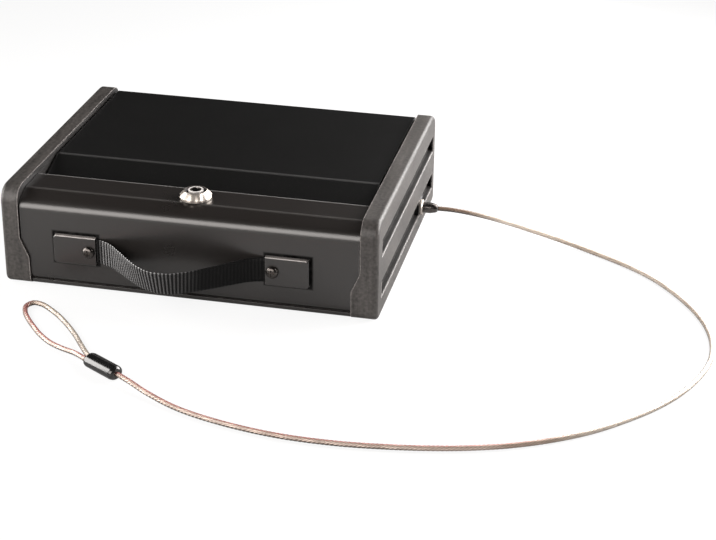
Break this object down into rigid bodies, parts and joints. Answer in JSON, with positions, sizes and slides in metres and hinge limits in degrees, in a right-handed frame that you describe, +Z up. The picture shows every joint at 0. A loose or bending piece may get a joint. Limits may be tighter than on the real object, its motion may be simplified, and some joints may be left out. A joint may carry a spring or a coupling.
{
  "type": "portable car safe",
  "caption": "Flat steel car safe with moulded end caps, rear-hinged lid, round-key cam lock, webbing handle and a wire rope tether with a loop.",
  "frame": {"origin": "middle of the footprint of the case with its handle, at the underside of the feet, the tether left out", "axes": "+X to the side the cable leaves, -Y towards the handle and lock side, +Z up"},
  "size_m": [0.444, 0.3435, 0.0668],
  "materials": {
    "case_paint": "textured dark grey powder coat",
    "lid_paint": "satin black powder coat",
    "cap_plastic": "textured charcoal moulding",
    "liner_foam": "dense black felt faced foam",
    "chrome": "polished plating",
    "zinc": "bright zinc plating",
    "dark_steel": "dark oxide, polished",
    "black_plastic": "glossy black",
    "webbing": "ribbed black woven webbing",
    "wire_rope": "twisted strands under a clear plastic coat"
  },
  "bodies": {
    "case": {"body_shell": "case_paint", "left_end_plate": "lid_paint", "right_end_plate": "lid_paint", "left_end_cap": "cap_plastic", "right_end_cap": "cap_plastic", "finger_channel": "lid_paint", "base_liner": "liner_foam", "left_hinge_pin": "zinc", "right_hinge_pin": "zinc", "left_hinge_washer": "zinc", "right_hinge_washer": "zinc", "left_cap_screw_front_lower": "zinc", "left_cap_screw_front_upper": "zinc", "left_cap_screw_rear_lower": "zinc", "left_cap_screw_rear_upper": "zinc", "right_cap_screw_front_lower": "zinc", "right_cap_screw_front_upper": "zinc", "right_cap_screw_rear_lower": "zinc", "right_cap_screw_rear_upper": "zinc", "lock_housing": "chrome", "lock_nut": "zinc", "handle_strap": "webbing", "left_handle_plate": "case_paint", "left_handle_screw": "dark_steel", "left_handle_nut": "zinc", "right_handle_plate": "case_paint", "right_handle_screw": "dark_steel", "right_handle_nut": "zinc", "cable_grommet": "black_plastic", "cable_collar": "chrome", "cable_sleeve": "dark_steel", "cable_stud": "zinc", "cable_washer": "zinc", "cable_nut": "zinc", "cable_run": "wire_rope", "crimp_ferrule": "black_plastic", "cable_loop": "wire_rope"},
    "lid": {"lid": "lid_paint", "lid_strike": "zinc", "lid_liner": "liner_foam"},
    "lock_cylinder": {"lock_plug": "chrome", "lock_cam": "zinc", "cam_washer": "zinc", "cam_screw": "zinc"}
  },
  "joints": [
    {"name": "lid_hinge", "type": "hinge", "parent": "case", "child": "lid", "pos_m": [0, 0.10488, 0.0545], "axis": [-1, 0, 0], "range_deg": [0, 105]},
    {"name": "lock_turn", "type": "hinge", "parent": "case", "child": "lock_cylinder", "pos_m": [0, -0.06082, 0.061], "axis": [0, 0, 1], "range_deg": [0, 90]}
  ]
}
